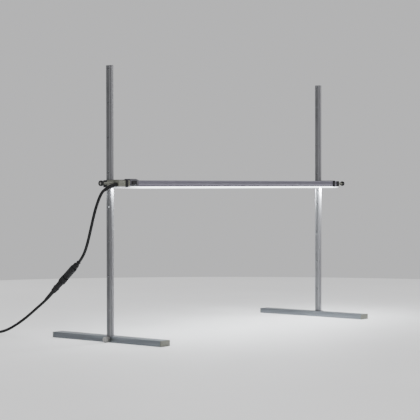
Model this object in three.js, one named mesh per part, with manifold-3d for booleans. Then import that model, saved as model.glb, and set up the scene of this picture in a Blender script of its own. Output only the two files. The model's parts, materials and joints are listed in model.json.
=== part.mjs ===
// LED grow light on two height-adjustable posts, for a seed tray.
// Millimetres, +Z up. X runs along the lamp, Y along the feet, and the origin lies
// on the resting surface, midway between the feet.
import * as THREE from 'three'
import { mergeVertices } from 'three/addons/utils/BufferGeometryUtils.js'
import Module from 'manifold-3d'

const wasm = await Module()
wasm.setup()

// Driving dimensions
const GAP = 0.3 // running gap between neighbouring pieces
const POST_X = 400 // post centre line from the middle
const POST_Y = -11 // post centre line, a little nearer the feet's front
const POST_WIDTH = 7.5 // along X
const POST_DEPTH = 15.8 // along Y
const POST_TOP = 603
const HOLE_PITCH = 75
const HOLE_RADIUS = 2
const HOLE_COUNT = 8
const HOLE_OFFSET = 1.6 // hole line behind the post's centre line
const TOP_HOLE_Z = 595
const FOOT_LENGTH = 322
const FOOT_WIDTH = 30
const FOOT_HEIGHT = 12.5
const FOOT_WALL = 1.4
const FOOT_SCREW_Z = 6.6
const LAMP_HALF = 425 // half the lamp's length
const LAMP_WIDTH = 35
const LAMP_HEIGHT = 13.7 // metal body only
const LAMP_BASE = 339 // underside of the metal body
const LAMP_Y = POST_Y - 31.9 // lamp centre line, in front of the posts
const DIFFUSER_DEPTH = 3.8
const SWITCH_START = -389.7 // left end of the switch module
const SWITCH_END = -362
const BODY_START = SWITCH_END + GAP
const BODY_END = 411.7
const END_KNOB_X = 463
const CORD_RADIUS = 3.2
const COIL_TURN_RADII = [19.7, 32.5] // innermost and outermost turn centres

// Where the lead lies
const CORD_X = -442 // plane in which the lead hangs beside the stand
const COUPLER_TOP = new THREE.Vector3(CORD_X, 43, 174.5)
const COUPLER_END = new THREE.Vector3(CORD_X, 145.2, 87.55)
const COIL_CENTRE = new THREE.Vector3(CORD_X - COIL_TURN_RADII[1], 366, 0)

const grow = new THREE.Group()

// ---------- helpers ----------

function paint(color, roughness, metalness = 0) {
  return new THREE.MeshStandardMaterial({ color, roughness, metalness })
}

const aluminium = paint(0x9aa0a8, 0.38, 0.9)
const steel = paint(0xb8bab8, 0.3, 1)
const brass = paint(0xc9a24a, 0.35, 1)
const blackPlastic = paint(0x141416, 0.5)
const greyPlastic = paint(0x8a8c84, 0.55)
const milky = paint(0xf6fbff, 0.4)
const board = paint(0xe8ece8, 0.5)
const greenBoard = paint(0x1f5a34, 0.5)
const cordSkin = paint(0x0d0d0e, 0.55)
const redWire = paint(0x8e1a14, 0.5)
const blueWire = paint(0x1c3f86, 0.5)

function addPiece(name, shape, material) {
  const mesh = new THREE.Mesh(shape.isBufferGeometry ? shape : toGeometry(shape), material)
  mesh.name = name
  grow.add(mesh)
}

function toSolid(geometry) {
  const bare = geometry.clone()
  bare.deleteAttribute('normal')
  bare.deleteAttribute('uv')
  const merged = mergeVertices(bare, 1e-4)
  return new wasm.Manifold(
    new wasm.Mesh({
      numProp: 3,
      vertProperties: new Float32Array(merged.attributes.position.array),
      triVerts: new Uint32Array(merged.index.array),
    }),
  )
}

function toGeometry(solid) {
  const mesh = solid.getMesh()
  const geometry = new THREE.BufferGeometry()
  geometry.setAttribute('position', new THREE.BufferAttribute(mesh.vertProperties, 3))
  geometry.setIndex(new THREE.BufferAttribute(mesh.triVerts, 1))
  return geometry
}

function join(...geometries) {
  return geometries.map(toSolid).reduce((whole, next) => whole.add(next))
}

function cut(base, ...tools) {
  const start = base.isBufferGeometry ? toSolid(base) : base
  return tools.map(toSolid).reduce((whole, tool) => whole.subtract(tool), start)
}

function block(x, y, z) {
  const size = [x, y, z].map(([a, b]) => Math.abs(b - a))
  const middle = [x, y, z].map(([a, b]) => (a + b) / 2)
  return new THREE.BoxGeometry(...size).translate(...middle)
}

function around(middle, half) {
  return [middle - half, middle + half]
}

function rodX(x, y, z, radius, sides = 20) {
  const rod = new THREE.CylinderGeometry(radius, radius, Math.abs(x[1] - x[0]), sides)
  return rod.rotateZ(Math.PI / 2).translate((x[0] + x[1]) / 2, y, z)
}

function rodY(x, y, z, radius, sides = 16) {
  const rod = new THREE.CylinderGeometry(radius, radius, Math.abs(y[1] - y[0]), sides)
  return rod.translate(x, (y[0] + y[1]) / 2, z)
}

function rodZ(x, y, z, radius, sides = 16) {
  const rod = new THREE.CylinderGeometry(radius, radius, Math.abs(z[1] - z[0]), sides)
  return rod.rotateX(Math.PI / 2).translate(x, y, (z[0] + z[1]) / 2)
}

function shapeOf(points) {
  return new THREE.Shape(points.map(([a, b]) => new THREE.Vector2(a, b)))
}

function prism(shape, depth) {
  return new THREE.ExtrudeGeometry(shape, { depth, bevelEnabled: false })
}

// An outline drawn as [y, z] pairs, running along X
function prismX(points, x) {
  const turn = new THREE.Matrix4().set(0, 0, 1, x[0], 1, 0, 0, 0, 0, 1, 0, 0, 0, 0, 0, 1)
  return prism(shapeOf(points), x[1] - x[0]).applyMatrix4(turn)
}

// An outline drawn as [x, y] pairs, running along Z
function prismZ(points, z) {
  return prism(shapeOf(points), z[1] - z[0]).translate(0, 0, z[0])
}

function mirrored(half) {
  const other = half.map(([a, b]) => [-a, b]).reverse()
  return [...half, ...other]
}

// A disc with shallow round flutes, its axis along X
function knurledDisc(x, y, z, radius, flutes) {
  const steps = flutes * 4
  const outline = Array.from({ length: steps }, (_, i) => {
    const angle = (i / steps) * 2 * Math.PI
    const reach = radius - 0.35 + 0.35 * Math.cos(angle * flutes)
    return [reach * Math.cos(angle), reach * Math.sin(angle)]
  })
  return prismX(outline, x).translate(0, y, z)
}

// A round body whose profile is [radius, distance] pairs along an axis
function turned(profile, start, direction, sides = 20) {
  const points = profile.map(([r, d]) => new THREE.Vector2(r, d))
  const lathe = new THREE.LatheGeometry(points, sides)
  const up = new THREE.Vector3(0, 1, 0)
  const spin = new THREE.Quaternion().setFromUnitVectors(up, direction.clone().normalize())
  return lathe.applyQuaternion(spin).translate(start.x, start.y, start.z)
}

function tube(points, radius, steps, sides = 10) {
  const path = new THREE.CatmullRomCurve3(points.map((p) => new THREE.Vector3(...p)))
  const ring = Array.from({ length: sides }, (_, i) => {
    const angle = (i / sides) * 2 * Math.PI
    return [radius * Math.cos(angle), radius * Math.sin(angle)]
  })
  return new THREE.ExtrudeGeometry(shapeOf(ring), { steps, extrudePath: path, bevelEnabled: false })
}

// ---------- feet and posts ----------

const footOuter = POST_X + POST_WIDTH / 2 + 0.45 + FOOT_WALL
const footInner = footOuter - FOOT_WIDTH
const footEnd = FOOT_LENGTH / 2
const CAP_PLATE = 2.5
const SCREW_RADIUS = 2.3
const SCREW_HOLE = 2.7

function footBox(inset, y, side) {
  const x = [side * (footOuter - inset), side * (footInner + inset)]
  return block(x, y, [inset, FOOT_HEIGHT - inset])
}

function postHollow(side, clearance, z) {
  const x = around(side * POST_X, POST_WIDTH / 2 + clearance)
  return block(x, around(POST_Y, POST_DEPTH / 2 + clearance), z)
}

function makeFoot(name, side) {
  const tubeEnd = footEnd - CAP_PLATE - GAP
  const foot = cut(
    footBox(0, [-tubeEnd, tubeEnd], side),
    footBox(FOOT_WALL, [-footEnd, footEnd], side),
    postHollow(side, 0.4, [FOOT_HEIGHT - 3, FOOT_HEIGHT + 1]),
    rodX([side * (footOuter - 3), side * (footOuter + 1)], POST_Y, FOOT_SCREW_Z, SCREW_HOLE),
  )
  addPiece(`${name}_foot`, foot, aluminium)

  const insert = cut(
    footBox(FOOT_WALL + GAP, around(POST_Y, 22), side),
    postHollow(side, GAP, [-1, FOOT_HEIGHT + 1]),
  )
  addPiece(`${name}_foot_insert`, insert, blackPlastic)

  for (const [end, sign] of [['front', -1], ['rear', 1]]) {
    const plate = footBox(0, [sign * (footEnd - CAP_PLATE), sign * footEnd], side)
    const tongue = footBox(FOOT_WALL + GAP, [sign * (footEnd - 11), sign * (footEnd - 1)], side)
    addPiece(`${name}_foot_${end}_cap`, join(plate, tongue), greyPlastic)
  }
}

// Flat aluminium bar with a shallow channel behind a narrow groove on both broad faces
function postOutline() {
  const w = POST_WIDTH / 2
  const d = POST_DEPTH / 2
  return mirrored([
    [w - 0.5, d],
    [w, d - 0.5],
    [w, d - 1.5],
    [w - 0.7, d - 2],
    [w - 0.7, -0.9],
    [w, -1.4],
    [w, -5.4],
    [w - 1.1, -5.8],
    [w - 1.1, -6.5],
    [w, -6.9],
    [w, 0.5 - d],
    [w - 0.5, -d],
  ].reverse())
}

function makePost(name, side) {
  const bar = prismZ(postOutline(), [FOOT_WALL + GAP, POST_TOP]).translate(side * POST_X, POST_Y, 0)
  const through = around(side * POST_X, POST_WIDTH)
  const holes = Array.from({ length: HOLE_COUNT }, (_, i) => {
    return rodX(through, POST_Y + HOLE_OFFSET, TOP_HOLE_Z - i * HOLE_PITCH, HOLE_RADIUS, 16)
  })
  const screwHole = rodX(through, POST_Y, FOOT_SCREW_Z, SCREW_HOLE)
  addPiece(`${name}_post`, cut(bar, ...holes, screwHole), aluminium)
}

function makeFootScrew(name, side) {
  const headStart = footOuter + 1.6
  const head = knurledDisc(ordered(side, headStart, headStart + 11.5), POST_Y, FOOT_SCREW_Z, 6.3, 14)
  const shank = rodX([side * (POST_X - 2), side * (headStart + 1)], POST_Y, FOOT_SCREW_Z, SCREW_RADIUS)
  addPiece(`${name}_foot_screw`, join(head, shank), steel)
}

// A stretch of X given by its distances from the middle, on the left (-1) or right (1)
function ordered(side, near, far) {
  return side > 0 ? [near, far] : [-far, -near]
}

function washer(side) {
  const x = ordered(side, footOuter + GAP, footOuter + GAP + 1)
  const hole = rodX(around((x[0] + x[1]) / 2, 2), POST_Y, FOOT_SCREW_Z, SCREW_HOLE)
  return cut(rodX(x, POST_Y, FOOT_SCREW_Z, 5.4, 24), hole)
}

for (const [name, side] of [['left', -1], ['right', 1]]) {
  makeFoot(name, side)
  makePost(name, side)
  makeFootScrew(name, side)
  addPiece(`${name}_foot_washer`, washer(side), steel)
}

// ---------- sliders, clips and lock knobs ----------

const LAMP_TOP = LAMP_BASE + LAMP_HEIGHT
const LOCK_Z = LAMP_BASE + 7
const SLIDER_Z = [LAMP_BASE - 1.4, LAMP_TOP + 0.5]
const SLIDER_BACK = POST_Y + POST_DEPTH / 2 + 5.5
const SLIDER_FRONT = POST_Y - POST_DEPTH / 2 - 3.4
const SLIDER_HALF = 7.2 // along X
const CLIP_BAND = 7.5 // width of the band along X
const CLIP_PLATE = 2.5
const CLIP_SKIN = 1.1
const lampBack = LAMP_Y + LAMP_WIDTH / 2
const lampFront = LAMP_Y - LAMP_WIDTH / 2
const plateFront = lampBack + GAP
const plateBack = plateFront + CLIP_PLATE

function clipScrew(side) {
  const x = side * POST_X
  const head = rodY(x, [plateFront, plateFront + 1.4], LOCK_Z, 2.2)
  const shank = rodY(x, [plateFront + 1, plateBack + 2.2], LOCK_Z, 1.1)
  return join(head, shank)
}

function clipScrewHoles(side) {
  const x = side * POST_X
  const wide = rodY(x, [plateFront - 1, plateFront + 1.7], LOCK_Z, 2.5)
  const narrow = rodY(x, [plateFront, plateBack + 2.6], LOCK_Z, 1.4)
  return [wide, narrow]
}

function makeSlider(name, side) {
  const x = around(side * POST_X, SLIDER_HALF)
  const body = block(x, [SLIDER_FRONT, SLIDER_BACK], SLIDER_Z)
  const lockHole = rodX(ordered(side, POST_X - SLIDER_HALF - 1, POST_X - 2), POST_Y, LOCK_Z, 2.8)
  const slider = cut(body, postHollow(side, 0.35, [0, POST_TOP]), lockHole, ...clipScrewHoles(side))
  addPiece(`${name}_slider`, slider, blackPlastic)
}

// The band goes over the lamp's top, down its front and hooks under both lower edges
function clipOutline() {
  const top = LAMP_TOP + GAP
  const front = lampFront - GAP
  const base = LAMP_BASE - GAP
  const hook = base - 1.2
  return [
    [plateBack, hook],
    [plateBack, top + CLIP_SKIN],
    [front - CLIP_SKIN + 0.6, top + CLIP_SKIN],
    [front - CLIP_SKIN, top + CLIP_SKIN - 0.6],
    [front - CLIP_SKIN, hook],
    [front + 1.5, hook],
    [front + 1.5, base],
    [front, base],
    [front, top],
    [plateFront, top],
    [plateFront, base],
    [plateFront - 1.5, base],
    [plateFront - 1.5, hook],
  ].reverse()
}

function makeClip(name, side) {
  const band = prismX(clipOutline(), around(side * POST_X, CLIP_BAND / 2))
  const plate = block(around(side * POST_X, 8.4), [plateFront, plateBack], SLIDER_Z)
  addPiece(`${name}_clip`, cut(join(band, plate), ...clipScrewHoles(side)), blackPlastic)
}

function makeLock(name, side) {
  const postFace = POST_X - POST_WIDTH / 2
  const knobStart = POST_X - SLIDER_HALF - 1.6
  const stud = rodX(ordered(side, knobStart - 5, postFace - 0.4), POST_Y, LOCK_Z, 2.4)
  addPiece(`${name}_lock_stud`, stud, steel)
  const disc = knurledDisc(ordered(side, knobStart - 9, knobStart), POST_Y, LOCK_Z, 6, 10)
  const bore = rodX(ordered(side, knobStart - 5.3, knobStart + 1), POST_Y, LOCK_Z, 2.7)
  addPiece(`${name}_lock_knob`, cut(disc, bore), blackPlastic)
}

for (const [name, side] of [['left', -1], ['right', 1]]) {
  makeSlider(name, side)
  makeClip(name, side)
  makeLock(name, side)
  addPiece(`${name}_clip_screw`, clipScrew(side), steel)
}

// ---------- lamp body ----------

function atLamp(outline) {
  return outline.map(([y, z]) => [LAMP_Y + y, LAMP_BASE + z])
}

const halfWidth = LAMP_WIDTH / 2
const SKIN = 1.3
const BOARD_BASE = 4.7 // underside of the LED board above the lamp's base
const BOARD_TOP = 5.9

// Inverted channel with a fine groove along each side and shallow ribs on top
function housingOutline() {
  const inner = halfWidth - SKIN
  const ribs = [12.4, 8.4, 4.4].flatMap((y) => [
    [y + 0.6, LAMP_HEIGHT],
    [y + 0.4, LAMP_HEIGHT - 0.5],
    [y - 0.4, LAMP_HEIGHT - 0.5],
    [y - 0.6, LAMP_HEIGHT],
  ])
  const right = [
    [inner, LAMP_HEIGHT - 1.4],
    [inner, 4.4],
    [inner - 2, 4.4],
    [inner - 2, 3.6],
    [inner, 3.6],
    [inner, 1.2],
    [14.3, 1.2],
    [14.3, 0],
    [halfWidth, 0],
    [halfWidth, 5.4],
    [halfWidth - 0.6, 5.8],
    [halfWidth - 0.6, 6.6],
    [halfWidth, 7],
    [halfWidth, LAMP_HEIGHT - 0.8],
    [halfWidth - 0.8, LAMP_HEIGHT],
    ...ribs,
  ]
  return atLamp(mirrored(right))
}

// Screws that hold the caps, the switch module and the body together, from above
const LAMP_SCREWS = { left_cap_screw: -385.6, module_screw: -358.2, right_cap_screw: 408.4 }
const SCREW_Y = LAMP_Y + 9

function lampScrew(x) {
  const head = rodZ(x, SCREW_Y, [LAMP_TOP - 0.9, LAMP_TOP + 0.2], 1.9, 12)
  const shank = rodZ(x, SCREW_Y, [LAMP_BASE + 8.4, LAMP_TOP - 0.5], 0.95, 10)
  return join(head, shank)
}

function screwHoles(near, far) {
  const within = Object.values(LAMP_SCREWS).filter((x) => x > near && x < far)
  return within.flatMap((x) => [
    rodZ(x, SCREW_Y, [LAMP_BASE + 8, LAMP_TOP + 5], 1.25, 12),
    rodZ(x, SCREW_Y, [LAMP_TOP - 1.2, LAMP_TOP + 5], 2.2, 12),
  ])
}

function makeHousing() {
  const channel = prismX(housingOutline(), [BODY_START, BODY_END])
  addPiece('lamp_housing', cut(channel, ...screwHoles(BODY_START, BODY_END)), aluminium)
}

// Shallow milky trough; two snap ribs hook over the housing's lower lips
function diffuserOutline(ribbed) {
  const outer = 15.5
  const top = -GAP
  const floor = -DIFFUSER_DEPTH
  const rib = [
    [14, top],
    [14, 1.5],
    [15.2, 1.5],
    [14, 2.6],
    [13, 2.6],
  ]
  const right = [
    [13.9, floor + 1.5],
    [13, -1.6],
    ...(ribbed ? rib.toReversed() : [[13, top]]),
    [outer, top],
    [outer, floor + 1.6],
    [outer - 0.5, floor + 0.5],
    [outer - 1.6, floor],
  ]
  return atLamp(mirrored(right))
}

function makeDiffuser() {
  const ends = LAMP_HALF - 0.6
  const trough = prismX(diffuserOutline(false), [-ends, ends])
  const snap = prismX(diffuserOutline(true), [BODY_START + 8, BODY_END - 8])
  const wallY = around(LAMP_Y, 14.6)
  const wallZ = [LAMP_BASE - DIFFUSER_DEPTH + 0.6, LAMP_BASE - GAP]
  const left = block([-ends, 1.4 - ends], wallY, wallZ)
  const right = block([ends - 1.4, ends], wallY, wallZ)
  addPiece('diffuser', join(trough, snap, left, right), milky)
}

// The strip with its two rows of soldered LEDs facing down
function makeLedBoard() {
  const start = BODY_START + 12
  const end = BODY_END - 10
  const thickness = [LAMP_BASE + BOARD_BASE, LAMP_BASE + BOARD_TOP]
  const strip = block([start, end], around(LAMP_Y, 14), thickness)
  const perRow = 30
  const pitch = (end - start - 20) / (perRow - 1)
  const z = [LAMP_BASE + BOARD_BASE - 0.9, LAMP_BASE + BOARD_BASE + 0.1]
  const leds = [-6, 6].flatMap((y) =>
    Array.from({ length: perRow }, (_, i) => {
      return block(around(start + 10 + i * pitch, 1.5), around(LAMP_Y + y, 1.5), z)
    }),
  )
  addPiece('led_board', join(strip, ...leds), board)
}

function makeDriver() {
  const z = LAMP_BASE + BOARD_TOP + GAP
  addPiece('driver_board', block([-346, -236], around(LAMP_Y, 11), [z, z + 1]), greenBoard)
  const rest = z + 1 + GAP
  addPiece('driver_transformer', block([-318, -302], around(LAMP_Y, 7), [rest, rest + 3]), blackPlastic)
  addPiece('driver_capacitor', rodX([-290, -276], LAMP_Y, rest + 1.5, 1.5, 14), blueWire)
}

makeHousing()
makeDiffuser()
makeLedBoard()
makeDriver()

// ---------- end caps, inlet and switch ----------

const INLET_Y = LAMP_Y - 10.6
const INLET_Z = LAMP_BASE + 4.4
const INLET_DEPTH = 8
const KNOB_Y = LAMP_Y - 1.2
const KNOB_Z = LAMP_BASE + 7.2
const PIN_OFFSETS = [-1.6, 1.6] // contact pins either side of the inlet's axis
const STUD_RADIUS = 2.6
const leftFace = -LAMP_HALF
const capEnd = SWITCH_START - GAP

function capOutline(inset, rise = 0) {
  return atLamp([
    [halfWidth - inset, rise],
    [halfWidth - inset, LAMP_HEIGHT - 1.2 - inset],
    [halfWidth - 1.2 - inset, LAMP_HEIGHT - inset],
    [1.2 + inset - halfWidth, LAMP_HEIGHT - inset],
    [inset - halfWidth, LAMP_HEIGHT - 1.2 - inset],
    [inset - halfWidth, rise],
  ])
}

// A tongue above the LED board that slides into the next hollow section
function tongue(x) {
  return block(x, around(LAMP_Y, 13), [LAMP_BASE + 8, LAMP_BASE + 10.6])
}

// Joins a tongue to the roof of the shell that it starts in
function tongueRoot(x) {
  return block(x, around(LAMP_Y, 13), [LAMP_BASE + 9, LAMP_TOP - 1])
}

function addAll(solid, ...geometries) {
  return geometries.map(toSolid).reduce((whole, next) => whole.add(next), solid)
}

function makeLeftCap() {
  const shell = cut(
    prismX(capOutline(0), [leftFace, capEnd]),
    prismX(capOutline(1.6, -1), [leftFace + 3, capEnd + 1]),
  )
  const socket = rodX([leftFace + 1, leftFace + INLET_DEPTH + 2], INLET_Y, INLET_Z, 4.3, 24)
  const boss = rodX([leftFace + 1, leftFace + 10], KNOB_Y, KNOB_Z, 4.6, 18)
  const root = tongueRoot([capEnd - 6, capEnd - 1])
  const cap = cut(
    addAll(shell, socket, boss, tongue([capEnd - 6, capEnd + 8]), root),
    rodX([leftFace - 1, leftFace + INLET_DEPTH], INLET_Y, INLET_Z, 3.7, 24),
    ...PIN_OFFSETS.map((y) => rodX([leftFace, leftFace + 13], INLET_Y + y, INLET_Z, 1, 12)),
    rodX([leftFace - 1, leftFace + 7], KNOB_Y, KNOB_Z, STUD_RADIUS + GAP, 18),
    ...screwHoles(SWITCH_START, SWITCH_END),
  )
  addPiece('left_end_cap', cap, greyPlastic)
  for (const [i, name] of ['live', 'neutral'].entries()) {
    const pin = rodX([leftFace + 2.6, leftFace + 14], INLET_Y + PIN_OFFSETS[i], INLET_Z, 0.7, 12)
    addPiece(`${name}_pin`, pin, brass)
  }
}

function makeRightCap() {
  const start = BODY_END + GAP
  const shell = cut(
    prismX(capOutline(0), [start, LAMP_HALF]),
    prismX(capOutline(1.6, -1), [start - 1, LAMP_HALF - 3]),
  )
  const boss = rodX([LAMP_HALF - 10, LAMP_HALF - 1], KNOB_Y, KNOB_Z, 4.6, 18)
  const root = tongueRoot([start + 1, start + 6])
  const filled = addAll(shell, boss, tongue([start - 7, start + 6]), root)
  const studHole = rodX([LAMP_HALF - 7, LAMP_HALF + 1], KNOB_Y, KNOB_Z, STUD_RADIUS + GAP, 18)
  addPiece('right_end_cap', cut(filled, studHole, ...screwHoles(400, start)), blackPlastic)
}

function makeEndKnob(name, side) {
  const stud = rodX(ordered(side, LAMP_HALF - 6, END_KNOB_X + 1), KNOB_Y, KNOB_Z, STUD_RADIUS, 18)
  const collar = rodX(ordered(side, LAMP_HALF + 1, LAMP_HALF + 4), KNOB_Y, KNOB_Z, 3.5, 18)
  addPiece(`${name}_end_stud`, join(stud, collar), greyPlastic)
  const disc = knurledDisc(ordered(side, END_KNOB_X - 2.5, END_KNOB_X + 3.5), KNOB_Y, KNOB_Z, 6.2, 12)
  const boreEnds = ordered(side, END_KNOB_X - 4, END_KNOB_X + 1 + GAP)
  const bore = rodX(boreEnds, KNOB_Y, KNOB_Z, STUD_RADIUS + GAP, 18)
  addPiece(`${name}_end_knob`, cut(disc, bore), blackPlastic)
}

const ROCKER_X = -377
const ROCKER_Z = LAMP_BASE + 8.6
const moduleFront = LAMP_Y - halfWidth - 0.8

function moduleOutline() {
  return atLamp([
    [halfWidth, 0],
    [halfWidth, LAMP_HEIGHT - 0.8],
    [halfWidth - 0.8, LAMP_HEIGHT],
    [3, LAMP_HEIGHT],
    [-3, LAMP_HEIGHT + 3.3],
    [1 - halfWidth, LAMP_HEIGHT + 3.3],
    [-0.8 - halfWidth, LAMP_HEIGHT + 1.4],
    [-0.8 - halfWidth, 0],
  ])
}

function makeSwitch() {
  const lid = prismX(moduleOutline(), [SWITCH_START, SWITCH_END])
  const hollow = prismX(capOutline(1.6, -1), [SWITCH_START - 1, SWITCH_END + 1])
  const slope = new THREE.BoxGeometry(16, 40, 10).rotateY(0.42)
  slope.translate(SWITCH_END + 1.2, LAMP_Y - 8, LAMP_TOP + 5.2)
  const windowDepth = [moduleFront - 1, moduleFront + 5.4]
  const window = block(around(ROCKER_X, 8.6), windowDepth, around(ROCKER_Z, 4.3))
  const shell = cut(lid, hollow, slope, window, ...screwHoles(SWITCH_START, SWITCH_END))
  const root = tongueRoot([SWITCH_END - 5, SWITCH_END - 1])
  const whole = addAll(shell, tongue([SWITCH_END - 5, SWITCH_END + 7]), root)
  addPiece('switch_housing', cut(whole, ...screwHoles(SWITCH_END, BODY_START + 10)), blackPlastic)
  const bodyDepth = [moduleFront + 5.8, moduleFront + 12]
  const inside = block(around(ROCKER_X, 7.5), bodyDepth, [LAMP_BASE + 3, LAMP_BASE + 7.6])
  addPiece('switch_body', inside, greyPlastic)
}

// The rocker's face is a shallow V; it rests tilted, with its right half pressed in
function makeRocker() {
  const tilt = 0.12
  const right = [
    [7.6, -1.6],
    [7.6, 1.4],
    [2.2, 3.6],
  ]
  const face = [[0, -0.5], ...mirrored(right)]
  const rocker = prismZ(face, around(0, 3.9)).rotateZ(tilt)
  addPiece('switch_rocker', rocker.translate(ROCKER_X, moduleFront + 1, ROCKER_Z), blackPlastic)
}

makeLeftCap()
makeRightCap()
makeEndKnob('left', -1)
makeEndKnob('right', 1)
makeSwitch()
makeRocker()
for (const [name, x] of Object.entries(LAMP_SCREWS)) {
  addPiece(name, lampScrew(x), steel)
}

function makeWires() {
  const start = leftFace + 14.4
  const live = [
    [start, INLET_Y + PIN_OFFSETS[0], INLET_Z],
    [-403, INLET_Y + 4, INLET_Z],
    [-386, LAMP_Y - 2, LAMP_BASE + 5],
    [-366, LAMP_Y - 2, LAMP_BASE + 6],
    [-355, LAMP_Y - 4, LAMP_BASE + 7],
    [-346.6, LAMP_Y - 5, LAMP_BASE + 6.9],
  ]
  const neutral = [
    [start, INLET_Y + PIN_OFFSETS[1], INLET_Z],
    [-403, LAMP_Y + 1, INLET_Z],
    [-386, LAMP_Y + 3, LAMP_BASE + 5],
    [-366, LAMP_Y + 3, LAMP_BASE + 6],
    [-355, LAMP_Y + 4, LAMP_BASE + 7],
    [-346.6, LAMP_Y + 5, LAMP_BASE + 6.9],
  ]
  addPiece('live_wire', tube(live, 0.6, 24, 8), redWire)
  addPiece('neutral_wire', tube(neutral, 0.6, 24, 8), blueWire)
}

makeWires()

// ---------- the lead: plug, upper lead, coupler, lower lead, coil and wall plug ----------

// The plug's nose sits in the inlet; its body and tapered relief lean down towards the lead
const PLUG_LEAN = new THREE.Vector3(-0.97, 0, -0.2).normalize()
const RELIEF_AIM = new THREE.Vector3(-0.9, 0, -0.39).normalize()
const PLUG_BODY = 20
const RELIEF_LENGTH = 19.8

function makeLampPlug() {
  const along = new THREE.Vector3(-1, 0, 0)
  const noseStart = new THREE.Vector3(leftFace + 7.6, INLET_Y, INLET_Z)
  const nose = turned([[0, 0], [3.4, 0], [3.4, 9], [0, 9]], noseStart, along)
  const bodyStart = new THREE.Vector3(leftFace - 1.2, INLET_Y, INLET_Z)
  const bodyProfile = [[0, 0], [4, 0], [4.2, 2], [4.2, 16], [3.9, PLUG_BODY], [0, PLUG_BODY]]
  const body = turned(bodyProfile, bodyStart, PLUG_LEAN)
  const reliefStart = bodyStart.clone().addScaledVector(PLUG_LEAN, PLUG_BODY - 1)
  const profile = [[0, 0], [3.7, 0], [3.5, 12], [3, RELIEF_LENGTH], [0, RELIEF_LENGTH]]
  const relief = turned(profile, reliefStart, RELIEF_AIM, 16)
  const pinHoles = PIN_OFFSETS.map((y) => {
    return rodX([leftFace + 2, leftFace + 9], INLET_Y + y, INLET_Z, 1, 12)
  })
  addPiece('lamp_plug', cut(join(nose, body, relief), ...pinHoles), blackPlastic)
}

makeLampPlug()

const coupling = COUPLER_END.clone().sub(COUPLER_TOP)
const COUPLER_LENGTH = coupling.length()
coupling.normalize()

// Points that the upper lead follows, from the plug's relief to the coupler
const UPPER_ROUTE = [
  [-463.6, -53.5, 331.4],
  [-467.4, -53.4, 329],
  [-470.6, -52.9, 325.6],
  [-473.2, -51.6, 320.6],
  [-474.8, -49.2, 314.2],
  [-475.2, -45.6, 306.4],
  [-474.6, -41, 297.6],
  [-473.2, -35.6, 287.6],
  [-470.8, -29, 275.2],
  [-467.8, -22, 262],
  [-464, -13.4, 246],
  [-459.8, -4.4, 230],
  [-455, 5.4, 214.8],
  [-450.2, 15.6, 201.4],
  [-446, 26, 190],
  [-443.2, 35.4, 181.2],
  [-442.1, 41.6, 175.7],
]
addPiece('upper_lead', tube(UPPER_ROUTE, CORD_RADIUS, 46), cordSkin)

// One length of the coupler, its profile given from its upper end
function couplerPiece(name, from, profile) {
  const start = COUPLER_TOP.clone().addScaledVector(coupling, from)
  addPiece(`coupler_${name}`, turned(profile, start, coupling, 24), blackPlastic)
}

function makeCoupler() {
  const tail = COUPLER_LENGTH - 93.4
  const collar = [[6.4, 0], [8.3, 0], [8.5, 1], [8.5, 16.4], [8, 17.4], [6.4, 17.4], [6.4, 0]]
  couplerPiece('upper_gland', 0, [[0, 0], [3.6, 0], [4.6, 2], [6.4, 8], [6.4, 18], [0, 18]])
  couplerPiece('socket', 18.3, [[0, 0], [7.4, 0], [7.9, 1.5], [7.9, 32], [7, 32.6], [0, 32.6]])
  couplerPiece('plug', 51.3, [[0, 0], [6, 0], [6, 19.8], [7.2, 20.4], [7.2, 41.8], [0, 41.8]])
  couplerPiece('collar', 52.9, collar)
  const gland = [[0, 0], [6.3, 0], [6.3, 9], [4.6, 12.5], [4.2, 20], [2.9, tail], [0, tail]]
  couplerPiece('lower_gland', 93.4, gland)
}

makeCoupler()

// Points that the lower lead follows, from the coupler to the coil on the surface
const LOWER_ROUTE = [
  [-442, 145.5, 87.25],
  [-442, 152, 82.2],
  [-442, 165.4, 73.2],
  [-442, 181, 62.6],
  [-442, 197, 51.9],
  [-442, 213, 41.8],
  [-442, 229.4, 32.4],
  [-442, 246, 23.8],
  [-442, 262, 16.4],
  [-442, 278, 10.6],
  [-442, 294, 6.6],
  [-442, 310, 4.4],
  [-442, 326, 3.7],
  [-442, 342, 3.6],
  [-442, 354, 3.6],
  [-442, 365.4, 3.6],
]

// The last stretch, from the coil's upper layer down to the wall plug's relief
const TAIL_ROUTE = [
  [-500.4, 395.4, 8.2],
  [-504.6, 392.4, 7.6],
  [-509, 388.8, 6.4],
  [-513.4, 384.6, 5],
  [-517.6, 379.6, 4],
  [-521, 374, 3.6],
  [-523.4, 367.8, 4.2],
  [-524.6, 361.4, 5.6],
  [-525, 355, 6.8],
  [-525, 350, 7],
]

function makeCoil() {
  const [inner, outer] = COIL_TURN_RADII.map((r, i) => r + (i ? 1 : -1) * (CORD_RADIUS + 0.1))
  const z = [0.4, 13.3]
  const profile = [[inner, z[0]], [outer, z[0]], [outer, z[1]], [inner, z[1]], [inner, z[0]]]
  const points = profile.map(([r, d]) => new THREE.Vector2(r, d))
  const ring = new THREE.LatheGeometry(points, 40).rotateX(Math.PI / 2)
  // Room for the two leads where they run on to and off the ring
  const leadIn = block([CORD_X - 3.6, CORD_X + 4], [330, COIL_CENTRE.y + GAP], [0, 7.2])
  const solid = cut(ring.translate(COIL_CENTRE.x, COIL_CENTRE.y, 0), leadIn)
  addPiece('supply_coil', solid, cordSkin)

  // A strap once round the bundle, on the far side from where the lead arrives
  const middle = COIL_CENTRE.x
  const y = around(COIL_CENTRE.y - (inner + outer) / 2, (outer - inner) / 2 + 0.6)
  const strap = block(around(middle, 4), [y[0] - 0.7, y[1] + 0.7], [0, 14.2])
  const gap = block(around(middle, 6), y, [0.3, 13.5])
  addPiece('coil_tie', cut(strap, gap), blackPlastic)
}

const PLUG_X = -525
const PLUG_Z = 7.1

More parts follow.
